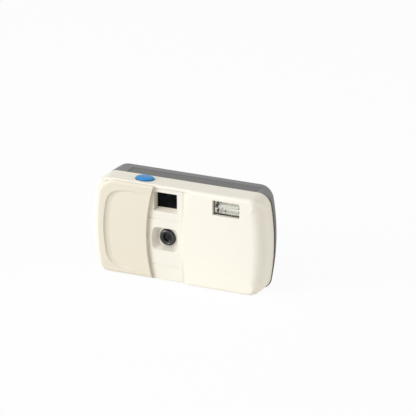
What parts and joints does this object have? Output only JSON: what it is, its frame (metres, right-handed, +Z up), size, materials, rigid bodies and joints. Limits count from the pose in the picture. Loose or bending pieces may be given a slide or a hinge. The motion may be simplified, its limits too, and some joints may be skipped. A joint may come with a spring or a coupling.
{
  "type": "film camera",
  "caption": "Compact reusable film camera with a sliding lens cover, built-in flash, geared hand winding and a hinged film door.",
  "frame": {"origin": "middle of the body's flat base", "axes": "-Y is the front with the lens, +X is the viewer's right when facing the front, +Z is up"},
  "size_m": [0.1236, 0.0352, 0.0656],
  "materials": {
    "cream_shell": "fine satin moulding",
    "cover_shell": "fine satin moulding, slightly warmer",
    "dark_shell": "fine grained dark grey",
    "frame_plastic": "matt black-grey",
    "blue_plastic": "glossy",
    "ring_plastic": "glossy black",
    "inner_plastic": "matt black",
    "white_plastic": "matt white with plain figures",
    "clear_plastic": "polished",
    "lens_glass": "polished, coated",
    "lamp_plastic": "clear amber-red",
    "mirror_metal": "bright",
    "spring_steel": "bright spring steel",
    "screw_steel": "black oxide",
    "contact_brass": "nickelled brass",
    "board_resin": "tan board with green mask",
    "capacitor_sleeve": "shrunk sleeve",
    "foam": "soft light-trap foam"
  },
  "bodies": {
    "camera": {"front_cover": "cream_shell", "rear_shell": "dark_shell", "mid_frame": "frame_plastic", "cover_detent_spring": "spring_steel", "lens_ring": "ring_plastic", "lens_element": "lens_glass", "shutter_housing": "inner_plastic", "shutter_blade_spring": "spring_steel", "viewfinder_window": "clear_plastic", "viewfinder_tube": "inner_plastic", "eyepiece_frame": "ring_plastic", "eyepiece_lens": "clear_plastic", "flash_lens": "clear_plastic", "flash_reflector": "mirror_metal", "flash_tube": "clear_plastic", "flash_tube_end_caps": "spring_steel", "flash_board": "board_resin", "flash_capacitor": "capacitor_sleeve", "flash_transformer": "inner_plastic", "flash_trigger_switch": "inner_plastic", "battery_top_contact": "contact_brass", "shutter_button_spring": "spring_steel", "thumbwheel_screw": "screw_steel", "frame_counter_screw": "screw_steel", "frame_counter_window": "clear_plastic", "wind_pawl": "inner_plastic", "rewind_release_spring": "spring_steel", "rewind_release_bracket": "spring_steel", "door_hinge_pin": "spring_steel", "door_latch_spring": "spring_steel", "door_latch_stop": "inner_plastic", "battery_door_pin": "spring_steel", "flash_ready_lamp": "lamp_plastic", "door_light_seals": "foam", "case_screws": "screw_steel"},
    "lens_cover": {"sliding_lens_cover": "cover_shell", "lens_cover_runner": "inner_plastic"},
    "shutter_release": {"shutter_button": "blue_plastic", "shutter_release_bar": "spring_steel"},
    "blade": {"shutter_blade": "spring_steel"},
    "thumbwheel": {"wind_thumbwheel": "inner_plastic"},
    "take_up": {"take_up_spool": "inner_plastic"},
    "sprocket": {"sprocket_shaft": "inner_plastic", "counter_finger": "contact_brass"},
    "counter": {"frame_counter_drum": "white_plastic"},
    "rewind": {"rewind_fork": "dark_shell", "rewind_lever_pin": "spring_steel"},
    "rewind_lever": {"rewind_lever": "dark_shell"},
    "rewind_knob": {"rewind_lever_knob": "dark_shell"},
    "rewind_release": {"rewind_release_button": "dark_shell"},
    "door": {"back_door": "dark_shell", "film_type_window": "clear_plastic", "pressure_plate_spring": "spring_steel"},
    "film_plate": {"pressure_plate": "inner_plastic"},
    "latch": {"door_latch": "dark_shell"},
    "battery_flap": {"battery_door": "dark_shell", "battery_contact_spring": "contact_brass"},
    "flash_slider": {"flash_switch": "dark_shell"}
  },
  "joints": [
    {"name": "cover_slide", "type": "slide", "parent": "camera", "child": "lens_cover", "axis": [1, 0, 0], "range_m": [0, 0.024]},
    {"name": "button_press", "type": "slide", "parent": "camera", "child": "shutter_release", "axis": [0, 0, -1], "range_m": [0, 0.0012], "stiffness_N_per_m": 500, "springref_m": -0.002, "deforming": ["shutter_button_spring"]},
    {"name": "blade_swing", "type": "hinge", "parent": "camera", "child": "blade", "pos_m": [-0.0033, -0.0075, 0.0335], "axis": [0, -1, 0], "range_deg": [0, 38], "stiffness_Nm_per_rad": 0.002, "springref_deg": -22.92},
    {"name": "take_up_turn", "type": "hinge", "parent": "camera", "child": "take_up", "pos_m": [-0.043, 0.002, 0.025], "axis": [0, 0, 1], "continuous": true},
    {"name": "thumbwheel_turn", "type": "hinge", "parent": "camera", "child": "thumbwheel", "pos_m": [-0.0434, 0.0088, 0.057], "axis": [0, 0, 1], "continuous": true},
    {"name": "sprocket_turn", "type": "hinge", "parent": "camera", "child": "sprocket", "pos_m": [-0.0254, 0.00395, 0.045], "axis": [0, 0, 1], "continuous": true},
    {"name": "counter_turn", "type": "hinge", "parent": "camera", "child": "counter", "pos_m": [-0.0333, 0.0082, 0.051], "axis": [0, 0, 1], "continuous": true},
    {"name": "rewind_turn", "type": "hinge", "parent": "camera", "child": "rewind", "pos_m": [0.0248, 0.0022, 0.003], "axis": [0, 0, 1], "continuous": true},
    {"name": "rewind_lever_fold", "type": "hinge", "parent": "rewind", "child": "rewind_lever", "pos_m": [0.0248, 0.0022, 0.001], "axis": [0, 1, 0], "range_deg": [0, 100]},
    {"name": "rewind_knob_spin", "type": "hinge", "parent": "rewind_lever", "child": "rewind_knob", "pos_m": [0.0294, 0.0022, 0.001], "axis": [0, 0, 1], "continuous": true},
    {"name": "rewind_release_press", "type": "slide", "parent": "camera", "child": "rewind_release", "axis": [0, 0, 1], "range_m": [0, 0.0014], "stiffness_N_per_m": 300, "springref_m": -0.002, "deforming": ["rewind_release_spring"]},
    {"name": "door_swing", "type": "hinge", "parent": "camera", "child": "door", "pos_m": [-0.0532, 0.0149, 0.025], "axis": [0, 0, 1], "range_deg": [0, 100]},
    {"name": "pressure_plate_float", "type": "slide", "parent": "door", "child": "film_plate", "axis": [0, 1, 0], "range_m": [0, 0.0006], "stiffness_N_per_m": 600, "springref_m": -0.001, "deforming": ["pressure_plate_spring"]},
    {"name": "latch_slide", "type": "slide", "parent": "camera", "child": "latch", "axis": [1, 0, 0], "range_m": [0, 0.0018], "stiffness_N_per_m": 400, "springref_m": -0.0015, "deforming": ["door_latch_spring"]},
    {"name": "battery_door_swing", "type": "hinge", "parent": "camera", "child": "battery_flap", "pos_m": [0.0516, 0.0056, 0.00136], "axis": [0, -1, 0], "range_deg": [0, 90]},
    {"name": "flash_switch_slide", "type": "slide", "parent": "camera", "child": "flash_slider", "axis": [1, 0, 0], "range_m": [0, 0.0042]}
  ],
  "couplings": [
    {"joint": "thumbwheel_turn", "follows": "take_up_turn", "ratio": -1.25},
    {"joint": "counter_turn", "follows": "sprocket_turn", "ratio": -0.05}
  ]
}
